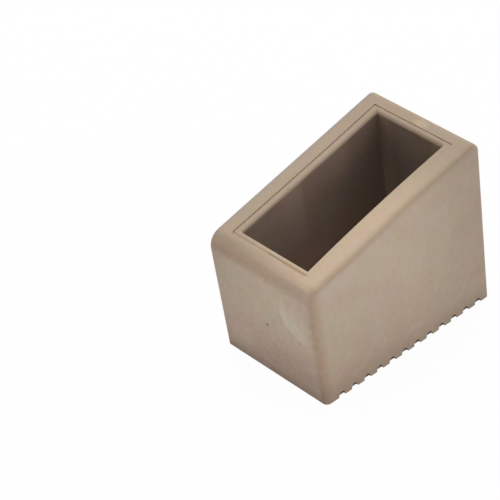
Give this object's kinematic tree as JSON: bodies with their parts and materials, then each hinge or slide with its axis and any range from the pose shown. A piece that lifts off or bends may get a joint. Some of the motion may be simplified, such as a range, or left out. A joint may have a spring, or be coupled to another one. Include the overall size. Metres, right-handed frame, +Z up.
{
  "type": "rubber furniture foot",
  "caption": "Moulded rubber foot with a sloping top, an upright rectangular socket for a flat leg, and a grooved sole.",
  "frame": {"origin": "middle of the sole, on the surface that the foot stands on", "axes": "+X along the foot from its low end to its tall end, +Y across it, +Z up the leg"},
  "size_m": [0.0762, 0.0502, 0.0617],
  "materials": {
    "rubber": "matt moulded beige rubber with faint mottling"
  },
  "bodies": {
    "root": {"foot": "rubber"}
  },
  "joints": []
}
